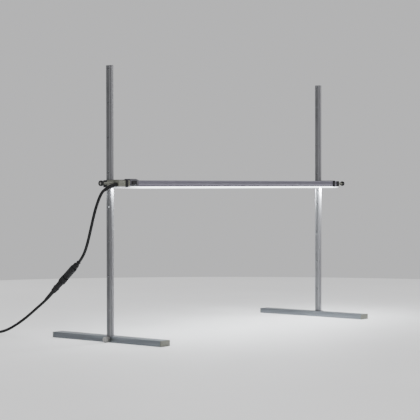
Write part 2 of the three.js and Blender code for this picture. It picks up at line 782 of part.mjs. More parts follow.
// Flat two-pin plug, wider where it is held
function makeWallPlug() {
  const reliefAt = new THREE.Vector3(PLUG_X, 349.6, PLUG_Z)
  const back = new THREE.Vector3(0, -1, 0)
  const relief = turned([[0, 0], [3, 0], [4.4, 23], [0, 23]], reliefAt, back, 14)
  const start = 327.3
  const right = [
    [12.6, start - 35],
    [12.6, start - 27],
    [9.6, start - 16],
    [10.5, start - 7],
    [6, start],
  ]
  const body = prismZ(mirrored(right), [0.3, 13.9]).translate(PLUG_X, 0, 0)
  const face = start - 35
  const sockets = [-9.3, 9.3].map((x) => rodY(PLUG_X + x, [face - 1, face + 6], PLUG_Z, 2.4, 12))
  addPiece('wall_plug', cut(join(relief, body), ...sockets), blackPlastic)
  for (const [name, x] of [['left', -9.3], ['right', 9.3]]) {
    addPiece(`wall_plug_${name}_pin`, rodY(PLUG_X + x, [face - 19, face + 5.7], PLUG_Z, 2, 14), brass)
  }
}

addPiece('lower_lead', tube(LOWER_ROUTE, CORD_RADIUS, 46), cordSkin)
makeCoil()
addPiece('supply_tail', tube(TAIL_ROUTE, CORD_RADIUS, 20), cordSkin)
makeWallPlug()

export default grow
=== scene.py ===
import json
import math

import bmesh
import bpy
from mathutils import Matrix, Vector

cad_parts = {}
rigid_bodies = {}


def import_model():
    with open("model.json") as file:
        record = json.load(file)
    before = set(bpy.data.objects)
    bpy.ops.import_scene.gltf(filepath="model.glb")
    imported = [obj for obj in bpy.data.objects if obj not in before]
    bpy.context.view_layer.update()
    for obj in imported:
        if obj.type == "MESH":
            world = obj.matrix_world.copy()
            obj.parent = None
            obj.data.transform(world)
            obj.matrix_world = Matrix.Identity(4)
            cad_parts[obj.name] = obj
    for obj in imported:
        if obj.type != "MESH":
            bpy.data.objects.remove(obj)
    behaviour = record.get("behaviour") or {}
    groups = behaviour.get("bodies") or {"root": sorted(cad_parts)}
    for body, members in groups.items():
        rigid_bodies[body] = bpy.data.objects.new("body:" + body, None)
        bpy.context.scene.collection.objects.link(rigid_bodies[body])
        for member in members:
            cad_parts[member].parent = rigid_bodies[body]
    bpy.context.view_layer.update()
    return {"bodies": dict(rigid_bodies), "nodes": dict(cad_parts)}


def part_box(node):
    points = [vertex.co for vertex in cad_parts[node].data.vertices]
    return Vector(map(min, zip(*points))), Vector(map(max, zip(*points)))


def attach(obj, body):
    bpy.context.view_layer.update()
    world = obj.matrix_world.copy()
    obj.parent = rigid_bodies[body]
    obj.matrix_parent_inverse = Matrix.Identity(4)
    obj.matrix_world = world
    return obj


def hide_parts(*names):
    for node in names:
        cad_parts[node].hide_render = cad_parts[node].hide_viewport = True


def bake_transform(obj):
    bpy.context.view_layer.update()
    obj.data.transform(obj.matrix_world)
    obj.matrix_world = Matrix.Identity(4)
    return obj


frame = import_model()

MM = 0.001
NODES = frame["nodes"]
SIDES = (("left", -1), ("right", 1))


# ---------- camera ----------

CAMERA_ANGLES = (-51.21, 0.94, -0.10)  # azimuth, elevation and roll, in degrees
CAMERA_PLACE = (-2.65203, -2.10024, 0.33806)
CAMERA_LENS = 120.64


def place_camera():
    azimuth, elevation, roll = (math.radians(a) for a in CAMERA_ANGLES)
    back = Vector((
        math.sin(azimuth) * math.cos(elevation),
        -math.cos(azimuth) * math.cos(elevation),
        math.sin(elevation),
    ))
    level = Vector((math.cos(azimuth), math.sin(azimuth), 0))
    upright = back.cross(level)
    right = level * math.cos(roll) + upright * math.sin(roll)
    up = upright * math.cos(roll) - level * math.sin(roll)
    placed = Matrix((right, up, back)).transposed().to_4x4()
    placed.translation = CAMERA_PLACE
    data = bpy.data.cameras.new("camera")
    data.sensor_width = 36
    data.lens = CAMERA_LENS
    data.clip_end = 60
    camera = bpy.data.objects.new("camera", data)
    camera.matrix_world = placed
    bpy.context.scene.collection.objects.link(camera)
    bpy.context.scene.camera = camera


place_camera()


# ---------- materials ----------

class Shader:
    """A material's node tree, with short calls for the nodes used here."""

    def __init__(self, name):
        self.material = bpy.data.materials.new(name)
        self.material.use_nodes = True
        self.tree = self.material.node_tree
        self.surface = self.tree.nodes["Principled BSDF"]
        self.place = self.add("ShaderNodeTexCoord").outputs["Object"]

    def add(self, kind, **settings):
        node = self.tree.nodes.new(kind)
        for key, value in settings.items():
            setattr(node, key, value)
        return node

    def link(self, output, target):
        self.tree.links.new(output, target)

    def stretched(self, scale):
        node = self.add("ShaderNodeMapping")
        node.inputs["Scale"].default_value = scale
        self.link(self.place, node.inputs["Vector"])
        return node.outputs["Vector"]

    def noise(self, scale, detail=4, roughness=0.55, vector=None):
        node = self.add("ShaderNodeTexNoise")
        node.inputs["Scale"].default_value = scale
        node.inputs["Detail"].default_value = detail
        node.inputs["Roughness"].default_value = roughness
        self.link(vector or self.place, node.inputs["Vector"])
        return node.outputs["Fac"]

    def ramp(self, value, stops):
        node = self.add("ShaderNodeValToRGB")
        ramp = node.color_ramp
        while len(ramp.elements) < len(stops):
            ramp.elements.new(0.5)
        for element, (position, color) in zip(ramp.elements, stops):
            element.position = position
            element.color = (*color, 1)
        self.link(value, node.inputs["Fac"])
        return node.outputs["Color"]

    def spread(self, value, low, high, start=0.3, end=0.7):
        node = self.add("ShaderNodeMapRange")
        for key, number in zip(("From Min", "From Max", "To Min", "To Max"), (start, end, low, high)):
            node.inputs[key].default_value = number
        self.link(value, node.inputs["Value"])
        return node.outputs["Result"]

    def mix(self, fac, first, second, blend="MIX"):
        node = self.add("ShaderNodeMix", data_type="RGBA", blend_type=blend)
        sockets = {s.identifier: s for s in node.inputs}
        for key, value in (("Factor_Float", fac), ("A_Color", first), ("B_Color", second)):
            if isinstance(value, bpy.types.NodeSocket):
                self.link(value, sockets[key])
            else:
                sockets[key].default_value = value if key == "Factor_Float" else (*value, 1)
        return next(s for s in node.outputs if s.identifier == "Result_Color")

    def bump(self, height, strength, distance):
        node = self.add("ShaderNodeBump")
        node.inputs["Strength"].default_value = strength
        node.inputs["Distance"].default_value = distance
        self.link(height, node.inputs["Height"])
        self.link(node.outputs["Normal"], self.surface.inputs["Normal"])

    def set(self, **values):
        for key, value in values.items():
            socket = self.surface.inputs[key.replace("_", " ")]
            if isinstance(value, bpy.types.NodeSocket):
                self.link(value, socket)
            else:
                socket.default_value = value
        return self


def shade(color, factor):
    return tuple(min(1, c * factor) for c in color)


def drawn_metal(name, color, along, roughness=0.42, metallic=0.85):
    """Satin metal with fine die lines along one axis, faint blotches and small scuffs."""
    s = Shader(name)
    lines_scale = [1.0, 1.0, 1.0]
    lines_scale[along] = 0.006
    vector = s.stretched(lines_scale)
    fine = s.noise(2600, 3, 0.6, vector)
    broad = s.noise(420, 3, 0.6, vector)
    blotch = s.noise(38, 4)
    scuff = s.noise(900, 5, 0.75)
    tone = s.ramp(broad, [(0.3, shade(color, 0.88)), (0.7, shade(color, 1.1))])
    tone = s.mix(s.spread(blotch, 0.0, 0.35), tone, shade(color, 0.84))
    tone = s.mix(s.spread(scuff, 0.0, 0.5, 0.66, 0.74), tone, shade(color, 1.25))
    s.set(Base_Color=tone, Metallic=metallic, Roughness=s.spread(fine, roughness - 0.07, roughness + 0.1))
    s.bump(fine, 0.16, 0.00006)
    return s.material


def post_metal():
    """Drawn metal with painted shade: its channel is coloured darker than the raised strip in front of it,
    standing in for the shade that falls in the recess.
    """
    low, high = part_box("left_post")
    s = Shader("anodised_post")
    split = s.add("ShaderNodeSeparateXYZ")
    s.link(s.place, split.inputs["Vector"])
    vector = s.stretched((1.0, 1.0, 0.006))
    fine = s.noise(2600, 3, 0.6, vector)
    broad = s.noise(420, 3, 0.6, vector)
    channel_shade_mottle = s.noise(60, 5, 0.65, s.stretched((1.0, 1.0, 0.25)))
    scuff = s.noise(900, 5, 0.75)
    bright = s.ramp(broad, [(0.3, (0.21, 0.21, 0.22)), (0.7, (0.28, 0.28, 0.295))])
    # painted shade: a darker, mottled copy of the strip's tone for the recessed channel
    dull_spots_and_channel_shade = s.ramp(channel_shade_mottle, [(0.35, (0.13, 0.133, 0.138)), (0.7, (0.185, 0.188, 0.196))])
    channel_front = low.y + 0.0071
    channel_back = high.y - 0.0017
    past_front = s.spread(split.outputs["Y"], 0.0, 1.0, channel_front - 0.0004, channel_front + 0.0002)
    before_back = s.spread(split.outputs["Y"], 1.0, 0.0, channel_back, channel_back + 0.0004)
    channel_shade_mask = s.add("ShaderNodeMath", operation="MULTIPLY")
    s.link(past_front, channel_shade_mask.inputs[0])
    s.link(before_back, channel_shade_mask.inputs[1])
    # painted shade: the channel between channel_front and channel_back takes the darker tone
    tone = s.mix(channel_shade_mask.outputs[0], bright, dull_spots_and_channel_shade)
    tone = s.mix(s.spread(scuff, 0.0, 0.4, 0.66, 0.74), tone, (0.38, 0.38, 0.39))
    s.set(Base_Color=tone, Metallic=0.8, Roughness=s.spread(fine, 0.36, 0.54))
    s.bump(fine, 0.16, 0.00006)
    return s.material


def moulded(name, color, roughness=0.5, grain=0.22, specular=0.45):
    """Moulded plastic: fine spark-eroded grain, slight mottling, a few rubbed spots."""
    s = Shader(name)
    texture = s.noise(5200, 2, 0.5)
    mottle = s.noise(120, 4)
    rubbed = s.noise(700, 5, 0.7)
    tone = s.ramp(mottle, [(0.3, shade(color, 0.82)), (0.72, shade(color, 1.2))])
    tone = s.mix(s.spread(rubbed, 0.0, 0.4, 0.64, 0.76), tone, tuple(min(1, c * 1.5 + 0.012) for c in color))
    s.set(Base_Color=tone, Roughness=s.spread(mottle, roughness - 0.06, roughness + 0.08))
    s.surface.inputs["Specular IOR Level"].default_value = specular
    s.bump(texture, grain, 0.00005)
    return s.material


def sheath(name):
    """Extruded cord jacket: matte black with faint dust and a soft orange-peel skin."""
    s = Shader(name)
    dust = s.noise(240, 5, 0.65)
    peel = s.noise(1500, 2, 0.5)
    tone = s.ramp(dust, [(0.35, (0.006, 0.006, 0.007)), (0.75, (0.013, 0.013, 0.014))])
    s.set(Base_Color=tone, Roughness=s.spread(dust, 0.5, 0.66))
    s.surface.inputs["Specular IOR Level"].default_value = 0.2
    s.bump(peel, 0.12, 0.00012)
    return s.material


def turned_metal(name, color, roughness=0.3):
    """Turned and plated metal with fine tool marks and slightly dulled spots."""
    s = Shader(name)
    marks = s.noise(3200, 3, 0.6, s.stretched((1.0, 0.12, 0.12)))
    dull_spots_and_channel_shade = s.noise(260, 4, 0.6)
    tone = s.ramp(dull_spots_and_channel_shade, [(0.35, shade(color, 0.8)), (0.7, shade(color, 1.08))])
    s.set(Base_Color=tone, Metallic=1.0, Roughness=s.spread(dull_spots_and_channel_shade, roughness - 0.05, roughness + 0.16))
    s.bump(marks, 0.15, 0.00005)
    return s.material


def glowing():
    """Milky cover lit from within, dimmer past both ends of the LED strip."""
    s = Shader("lit_diffuser")
    low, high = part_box("led_board")
    split = s.add("ShaderNodeSeparateXYZ")
    s.link(s.place, split.inputs["Vector"])
    x = split.outputs["X"]
    rise = s.spread(x, 0.0, 1.0, low.x - 0.055, low.x + 0.004)
    fall = s.spread(x, 1.0, 0.0, high.x - 0.004, high.x + 0.02)
    both = s.add("ShaderNodeMath", operation="MULTIPLY")
    s.link(rise, both.inputs[0])
    s.link(fall, both.inputs[1])
    cloud = s.noise(60, 3)
    streak = s.noise(1800, 2, 0.5, s.stretched((0.004, 1.0, 1.0)))
    light = s.ramp(both.outputs[0], [(0.0, (0.12, 0.125, 0.135)), (1.0, (0.93, 0.97, 1.0))])
    light = s.mix(s.spread(cloud, 0.0, 0.12), light, (0.86, 0.93, 1.0), "MULTIPLY")
    tone = s.ramp(streak, [(0.3, (0.80, 0.83, 0.86)), (0.7, (0.90, 0.93, 0.96))])
    s.set(Base_Color=tone, Roughness=s.spread(cloud, 0.3, 0.42), Emission_Color=light, Emission_Strength=4.0)
    s.bump(streak, 0.12, 0.00008)
    return s.material


def strip_board():
    """White solder mask with pale copper traces, and yellow phosphor on the LEDs' faces."""
    s = Shader("led_strip")
    low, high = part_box("led_board")
    split = s.add("ShaderNodeSeparateXYZ")
    s.link(s.place, split.inputs["Vector"])
    mask = s.noise(300, 4)
    traces = s.noise(900, 2, 0.5, s.stretched((0.05, 1.0, 1.0)))
    tone = s.ramp(mask, [(0.3, (0.74, 0.76, 0.74)), (0.7, (0.86, 0.88, 0.86))])
    tone = s.mix(s.spread(traces, 0.0, 0.5, 0.6, 0.64), tone, (0.62, 0.66, 0.60))
    phosphor = s.ramp(mask, [(0.3, (0.78, 0.58, 0.08)), (0.7, (0.90, 0.72, 0.16))])
    height = s.spread(split.outputs["Z"], 1.0, 0.0, low.z + 0.0003, low.z + 0.0005)
    s.set(Base_Color=s.mix(height, tone, phosphor), Roughness=s.spread(mask, 0.36, 0.5))
    s.bump(traces, 0.1, 0.00004)
    return s.material


MATERIALS = {
    "post": post_metal(),
    "foot": drawn_metal("anodised_foot", (0.165, 0.182, 0.198), 1, 0.42),
    "body": drawn_metal("anodised_lamp", (0.18, 0.172, 0.21), 0, 0.4),
    "steel": turned_metal("plated_steel", (0.36, 0.36, 0.345)),
    "brass": turned_metal("plated_brass", (0.66, 0.47, 0.20), 0.28),
    "black": moulded("black_moulding", (0.010, 0.010, 0.011), 0.5, 0.22, 0.22),
    "grey": moulded("grey_moulding", (0.15, 0.153, 0.128), 0.55),
    "switch": moulded("switch_moulding", (0.07, 0.069, 0.08), 0.42),
    "rubber": moulded("soft_relief", (0.009, 0.009, 0.010), 0.6, 0.12, 0.18),
    "green": moulded("green_board", (0.03, 0.16, 0.06), 0.4, 0.1),
    "blue": moulded("blue_sleeve", (0.03, 0.09, 0.36), 0.35, 0.08),
    "red": moulded("red_sleeve", (0.36, 0.025, 0.02), 0.35, 0.08),
    "cord": sheath("cord_jacket"),
    "glow": glowing(),
    "board": strip_board(),
}


# ---------- mesh helpers ----------

def finished(name, bm, material, slot, body, *stands_for):
    """Turns a bmesh in metres into a piece that rides on a body."""
    bmesh.ops.recalc_face_normals(bm, faces=bm.faces)
    for edge in bm.edges:
        edge.smooth = not edge.is_manifold or edge.calc_face_angle() < math.radians(33)
    for face in bm.faces:
        face.smooth = True
    mesh = bpy.data.meshes.new(name)
    bm.to_mesh(mesh)
    bm.free()
    mesh.materials.append(MATERIALS[material])
    piece = bpy.data.objects.new(name, mesh)
    bpy.context.scene.collection.objects.link(piece)
    if body:
        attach(piece, body)
    if stands_for:
        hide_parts(*stands_for)
    return piece


def sharp(bm, degrees):
    limit = math.radians(degrees)
    return [e for e in bm.edges if e.is_manifold and e.calc_face_angle() > limit]


def rounded(bm, width, degrees=38, segments=2):
    bmesh.ops.bevel(
        bm, geom=sharp(bm, degrees), offset=width * MM, segments=segments,
        profile=0.5, affect="EDGES", clamp_overlap=True,
    )


def from_node(node):
    """The node's own solid, its facets joined into whole faces again."""
    bm = bmesh.new()
    bm.from_mesh(NODES[node].data)
    bmesh.ops.remove_doubles(bm, verts=bm.verts, dist=2e-6)
    bmesh.ops.dissolve_limit(bm, angle_limit=0.012, verts=bm.verts, edges=bm.edges)
    return bm


def refined(node, material, slot, body, width, segments=2):
    """The node's shape with its sharp edges broken."""
    bm = from_node(node)
    rounded(bm, width, segments=segments)
    return finished(f"{node}_finished", bm, material, slot, body, node)


def add_rings(bm, rings, closed=False):
    """Bridges rings of points. The first and last are capped, or joined when closed."""
    loops = [[bm.verts.new(Vector(p) * MM) for p in ring] for ring in rings]
    pairs = list(zip(loops, loops[1:])) + ([(loops[-1], loops[0])] if closed else [])
    for first, second in pairs:
        for i in range(len(first)):
            k = (i + 1) % len(first)
            bm.faces.new((first[i], first[k], second[k], second[i]))
    if not closed:
        bm.faces.new(loops[0])
        bm.faces.new(loops[-1])


def axes_for(direction):
    along = Vector(direction).normalized()
    helper = Vector((0, 0, 1)) if abs(along.z) < 0.9 else Vector((0, 1, 0))
    side = helper.cross(along).normalized()
    return along, side, along.cross(side)


def add_turned(bm, profile, start, direction, sides=40, flutes=0, closed=False):
    """A turned body. Each profile entry is (distance, radius) or (distance, radius, flute depth)."""
    along, side, up = axes_for(direction)
    start = Vector(start)
    rings = []
    for entry in profile:
        distance, radius, depth = (*entry, 0)[:3]
        ring = []
        for i in range(sides):
            angle = 2 * math.pi * i / sides
            reach = radius - depth * (0.5 - 0.5 * math.cos(angle * flutes))
            ring.append(start + along * distance + (side * math.cos(angle) + up * math.sin(angle)) * reach)
        rings.append(ring)
    add_rings(bm, rings, closed)


def turned(name, profile, start, direction, material, slot, body, *stands_for, **shape):
    bm = bmesh.new()
    add_turned(bm, profile, start, direction, **shape)
    return finished(name, bm, material, slot, body, *stands_for)


def span_of(node):
    low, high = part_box(node)
    return low / MM, high / MM


def ribbed(start, end, radius_start, radius_end, count, groove):
    """Profile of a tapered strain relief with narrow grooves round it."""
    profile = [(start, radius_start - 0.5), (start + 0.5, radius_start)]
    pitch = (end - start - 2) / count
    for i in range(count):
        at = start + 1 + i * pitch
        share = (at - start) / (end - start)
        radius = radius_start + (radius_end - radius_start) * share
        profile += [
            (at + 0.15 * pitch, radius), (at + 0.3 * pitch, radius - groove),
            (at + 0.5 * pitch, radius - groove), (at + 0.65 * pitch, radius - 0.05),
        ]
    return profile + [(end - 0.5, radius_end), (end, radius_end - 0.4)]


# ---------- the lead ----------

CORD_DIAMETER = 6.4
UPPER_ROUTE = [
    (-463.6, -53.5, 331.4),
    (-467.4, -53.4, 329),
    (-470.6, -52.9, 325.6),
    (-473.2, -51.6, 320.6),
    (-474.8, -49.2, 314.2),
    (-475.2, -45.6, 306.4),
    (-474.6, -41, 297.6),
    (-473.2, -35.6, 287.6),
    (-470.8, -29, 275.2),
    (-467.8, -22, 262),
    (-464, -13.4, 246),
    (-459.8, -4.4, 230),
    (-455, 5.4, 214.8),
    (-450.2, 15.6, 201.4),
    (-446, 26, 190),
    (-443.2, 35.4, 181.2),
    (-442.1, 41.6, 175.7),
]
LOWER_ROUTE = [
    (-442, 145.5, 87.25),
    (-442, 152, 82.2),
    (-442, 165.4, 73.2),
    (-442, 181, 62.6),
    (-442, 197, 51.9),
    (-442, 213, 41.8),
    (-442, 229.4, 32.4),
    (-442, 246, 23.8),
    (-442, 262, 16.4),
    (-442, 278, 10.6),
    (-442, 294, 6.6),
    (-442, 310, 4.4),
    (-442, 326, 3.7),
    (-442, 342, 3.6),
    (-442, 354, 3.6),
]
TAIL_ROUTE = [
    (-504.6, 392.4, 7.6),
    (-509, 388.8, 6.4),
    (-513.4, 384.6, 5),
    (-517.6, 379.6, 4),
    (-521, 374, 3.6),
    (-523.4, 367.8, 4.2),
    (-524.6, 361.4, 5.6),
    (-525, 355, 6.8),
    (-525, 350, 7),
]
COUPLER_TOP = Vector((-442, 43, 174.5))
COUPLER_END = Vector((-442, 145.2, 87.55))
COIL_CENTRE = Vector((-474.5, 366, 0))
OUTER_TURN, MIDDLE_TURN, INNER_TURN = 32.5, 26.1, 19.7
LOWER_LAYER, UPPER_LAYER = 3.6, 10.0
COIL_POINTS = 40  # for each turn


def eased(value, start, end):
    t = min(1, max(0, (value - start) / (end - start)))
    return t * t * (3 - 2 * t)


def coil_point(turn, angle):
    """Three turns winding inward on the surface, then three outward on top of them."""
    if turn < 2:
        radius = (OUTER_TURN, MIDDLE_TURN)[turn] - CORD_DIAMETER * eased(angle, 300, 360)
        height = LOWER_LAYER
    elif turn == 2:
        radius = INNER_TURN
        height = LOWER_LAYER + (UPPER_LAYER - LOWER_LAYER) * eased(angle, 200, 300)
    elif turn < 5:
        radius = (INNER_TURN, MIDDLE_TURN)[turn - 3] + CORD_DIAMETER * eased(angle, 100, 200)
        height = UPPER_LAYER
    else:
        radius = OUTER_TURN + 6.7 * eased(angle, 40, 150)
        height = UPPER_LAYER - 1.9 * eased(angle, 60, 126)
    a = math.radians(angle)
    return COIL_CENTRE + Vector((radius * math.cos(a), radius * math.sin(a), height))


def coil_points():
    step = 360 / COIL_POINTS
    whole = [coil_point(turn, i * step) for turn in range(5) for i in range(COIL_POINTS)]
    last = [coil_point(5, i * step) for i in range(int(126 / step) + 1)]
    return whole + last


def smooth_path(points, spacing=2.0):
    """A Catmull-Rom curve through the points, sampled about every spacing millimetres."""
    points = [Vector(p) for p in points]
    ends = [points[0] * 2 - points[1], *points, points[-1] * 2 - points[-2]]
    path = []
    for a, b, c, d in zip(ends, ends[1:], ends[2:], ends[3:]):
        steps = max(1, round((c - b).length / spacing))
        for i in range(steps):
            t = i / steps
            path.append(
                0.5 * (
                    2 * b + (c - a) * t + (2 * a - 5 * b + 4 * c - d) * t * t
                    + (3 * b - a - 3 * c + d) * t ** 3
                )
            )
    path.append(points[-1])
    return path


def tube_mesh(bm, path, radius, sides=14):
    """A round tube along the path, its rings carried along without twisting."""
    final = len(path) - 1
    tangents = [(path[min(i + 1, final)] - path[max(i - 1, 0)]).normalized() for i in range(final + 1)]
    angles = [2 * math.pi * i / sides for i in range(sides)]
    side = axes_for(tangents[0])[1]
    rings = []
    for point, tangent in zip(path, tangents):
        side = (side - tangent * side.dot(tangent)).normalized()
        up = tangent.cross(side)
        rings.append([
            point + (side * math.cos(a) + up * math.sin(a)) * radius
            for a in angles
        ])
    add_rings(bm, rings)


def make_lead(name, path, stands_for):
    bm = bmesh.new()
    tube_mesh(bm, path, CORD_DIAMETER / 2)
    return finished(name, bm, "cord", "cord_sheath", None, *stands_for)


upper_path = smooth_path(UPPER_ROUTE)
supply_path = smooth_path([*LOWER_ROUTE, *coil_points(), *TAIL_ROUTE])
upper_cord = make_lead("upper_cord", upper_path, ["upper_lead"])
supply_cord = make_lead("supply_cord", supply_path, ["lower_lead", "supply_coil", "supply_tail"])

# ---------- kept shapes with their edges broken ----------

def refine_stand():
    for side, _ in SIDES:
        refined(f"{side}_foot", "foot", "aluminium_profile", "stand", 0.35)
        refined(f"{side}_post", "post", "aluminium_profile", "stand", 0.14, 1)
        refined(f"{side}_foot_insert", "black", "black_plastic", "stand", 0.3)
        for end in ("front", "rear"):
            refined(f"{side}_foot_{end}_cap", "grey", "grey_plastic", "stand", 0.4)


def refine_lamp():
    for side, _ in SIDES:
        refined(f"{side}_slider", "black", "black_plastic", "lamp", 0.35)
        refined(f"{side}_clip", "black", "black_plastic", "lamp", 0.2)
    refined("lamp_housing", "body", "aluminium_profile", "lamp", 0.12, 1)
    refined("diffuser", "glow", "milky_diffuser", "lamp", 0.2)
    refined("led_board", "board", "white_board", "lamp", 0.12)
    refined("driver_board", "green", "green_board", "lamp", 0.1)
    refined("driver_transformer", "black", "black_plastic", "lamp", 0.25)
    refined("left_end_cap", "grey", "grey_plastic", "lamp", 0.25)
    refined("right_end_cap", "black", "black_plastic", "lamp", 0.25)
    refined("switch_housing", "switch", "black_plastic", "lamp", 0.25)
    refined("switch_body", "grey", "grey_plastic", "lamp", 0.3)
    refined("switch_rocker", "black", "black_plastic", "rocker", 0.3, 3)


refine_stand()
refine_lamp()


# ---------- screws, studs, washers and knobs ----------

def cross_recess(bm, centre, outward, across, depth):
    """Cuts a cross-shaped driver recess into the body held in bm."""
    along, side, up = axes_for(outward)
    cutter = bmesh.new()
    for wide, narrow in ((side, up), (up, side)):
        corners = []
        for reach, half in ((-depth, 0.55), (depth, 1.0)):
            for a, b in ((-1, -1), (1, -1), (1, 1), (-1, 1)):
                offset = wide * (a * across * half) + narrow * (b * across * 0.17)
                corners.append(cutter.verts.new((Vector(centre) + along * reach + offset) * MM))
        for quad in ((0, 3, 2, 1), (4, 5, 6, 7), (0, 1, 5, 4), (1, 2, 6, 5), (2, 3, 7, 6), (3, 0, 4, 7)):
            cutter.faces.new([corners[i] for i in quad])
    return carved(bm, cutter)


def carved(bm, cutter):
    """The body in bm less the cutter, by an exact boolean."""
    made = []
    for name, source in (("carved_body", bm), ("carving_tool", cutter)):
        bmesh.ops.recalc_face_normals(source, faces=source.faces)
        mesh = bpy.data.meshes.new(name)
        source.to_mesh(mesh)
        source.free()
        thing = bpy.data.objects.new(name, mesh)
        bpy.context.scene.collection.objects.link(thing)
        made.append(thing)
    body, tool = made
    modifier = body.modifiers.new("carve", "BOOLEAN")
    modifier.operation = "DIFFERENCE"
    modifier.solver = "EXACT"
    modifier.use_self = True
    modifier.object = tool
    bpy.context.view_layer.update()
    result = bmesh.new()
    result.from_mesh(body.evaluated_get(bpy.context.evaluated_depsgraph_get()).to_mesh())
    for thing in made:
        data = thing.data
        bpy.data.objects.remove(thing)
        bpy.data.meshes.remove(data)
    return result


def thread(start, end, radius, pitch=0.8, depth=0.28):
    """Profile of a threaded shank, as close rings."""
    profile = [(start, 0.01), (start, radius - depth)]
    turns = int((end - start - 0.6) / pitch)
    for i in range(turns):
        at = start + 0.3 + i * pitch
        profile += [(at, radius - depth), (at + 0.35 * pitch, radius), (at + 0.6 * pitch, radius)]
    return profile + [(end - 0.3, radius - depth), (end, radius - depth - 0.1), (end, 0.01)]


def screw(node, head_at, outward, head_radius, head_height, shank_radius, body):
    """A pan-head screw with a cross recess and a threaded shank, from its head's top inward."""
    low, high = span_of(node)
    length = max(high - low)
    inward = -Vector(outward)
    rings = [
        (0, head_radius * 0.55), (0.12, head_radius * 0.85), (0.4, head_radius),
        (head_height, head_radius),
    ]
    rings.append((head_height, shank_radius))
    at = head_height + 0.2
    while at + 0.6 < length:
        rings += [(at, shank_radius - 0.22), (at + 0.2, shank_radius), (at + 0.3, shank_radius)]
        at += 0.5
    rings.append((length, shank_radius * 0.6))
    bm = bmesh.new()
    add_turned(bm, rings, head_at, inward, sides=32)
    bm = cross_recess(bm, head_at, outward, head_radius * 0.62, head_height * 0.75)
    finished(f"{node}_finished", bm, "steel", "steel", body, node)


def make_screws():
    for node in ("left_cap_screw", "module_screw", "right_cap_screw"):
        low, high = span_of(node)
        top = Vector(((low.x + high.x) / 2, (low.y + high.y) / 2, high.z))
        screw(node, top, (0, 0, 1), 1.9, 0.95, 0.95, "lamp")
    for side, _ in SIDES:
        low, high = span_of(f"{side}_clip_screw")
        front = Vector(((low.x + high.x) / 2, low.y, (low.z + high.z) / 2))
        screw(f"{side}_clip_screw", front, (0, -1, 0), 2.2, 1.3, 1.1, "lamp")


def make_washer(side):
    node = f"{side}_foot_washer"
    low, high = span_of(node)
    hub = Vector((low.x, (low.y + high.y) / 2, (low.z + high.z) / 2))
    thick = high.x - low.x
    rings = [
        (0.0, 2.75), (0.0, 5.25), (0.15, 5.4), (thick - 0.15, 5.4), (thick, 5.25), (thick, 2.9),
        (thick - 0.12, 2.75),
    ]
    turned(f"{node}_finished", rings, hub, (1, 0, 0), "steel", "steel", "stand", node, sides=48, closed=True)


def make_foot_screw(side, sign):
    """Knurled head with a turned collar and a dished face, on a threaded shank."""
    node = f"{side}_foot_screw"
    low, high = span_of(node)
    outer = low.x if sign < 0 else high.x
    length = high.x - low.x
    face = Vector((outer, (low.y + high.y) / 2, (low.z + high.z) / 2))
    rings = [
        (0.7, 0.01), (0.7, 3.3), (0.1, 3.9), (0.0, 5.2), (0.5, 5.95), (0.9, 6.25, 0.5), (4.3, 6.25, 0.5),
        (4.7, 5.9), (5.0, 5.1), (6.6, 5.1), (6.9, 5.9), (7.3, 6.25, 0.5), (10.6, 6.25, 0.5), (11.0, 5.9),
        (11.5, 5.0), (11.5, 2.25),
    ]
    at = 11.9
    while at + 0.8 < length:
        rings += [(at, 1.95), (at + 0.28, 2.25), (at + 0.48, 2.25)]
        at += 0.8
    rings += [(length, 1.9), (length, 0.01)]
    turned(
        f"{node}_finished", rings, face, (-sign, 0, 0), "steel", "steel",
        f"{side}_foot_thumbscrew", node, sides=144, flutes=36,
    )


def make_end_screw(side, sign):
    """Grey threaded stud with a smooth collar; a black knurled ring round a small steel centre."""
    stud, knob, body = f"{side}_end_stud", f"{side}_end_knob", f"{side}_end_screw"
    low, high = span_of(stud)
    inner = high.x if sign < 0 else low.x
    axis_y, axis_z = (low.y + high.y) / 2, (low.z + high.z) / 2
    root = Vector((inner, axis_y, axis_z))
    length = high.x - low.x
    rings = [
        (0, 0.01), (0, 2.2), (0.4, 2.5), (7, 2.5), (7, 3.3), (7.3, 3.5), (9.7, 3.5), (10, 3.3),
        (10, 2.3),
    ]
    at = 10.4
    while at + 1.0 < length - 3:
        rings += [(at, 2.3), (at + 0.3, 2.58), (at + 0.55, 2.58)]
        at += 0.9
    rings += [(length - 2.6, 2.5), (length, 2.5), (length, 0.01)]
    turned(f"{stud}_finished", rings, root, (sign, 0, 0), "grey", "grey_plastic", body, stud, sides=36)
    low, high = span_of(knob)
    outer = low.x if sign < 0 else high.x
    face = Vector((outer, axis_y, axis_z))
    thick = high.x - low.x
    rings = [
        (0.5, 3.0), (0.1, 3.5), (0.0, 5.2), (0.45, 5.85), (0.8, 6.15, 0.55), (thick - 0.8, 6.15, 0.55),
        (thick - 0.4, 5.8), (thick, 5.0), (thick, 2.9), (2.0, 2.9), (2.0, 3.0),
    ]
    turned(
        f"{knob}_finished", rings, face, (-sign, 0, 0), "black", "black_plastic", body, knob,
        sides=120, flutes=30, closed=True,
    )
    rings = [
        (1.1, 0.01), (1.1, 0.5), (0.6, 0.9), (0.35, 1.7), (0.9, 1.8), (1.0, 2.95), (2.0, 2.95),
        (2.0, 0.01),
    ]
    turned(f"{knob}_centre", rings, face, (-sign, 0, 0), "steel", "steel", body, sides=40)


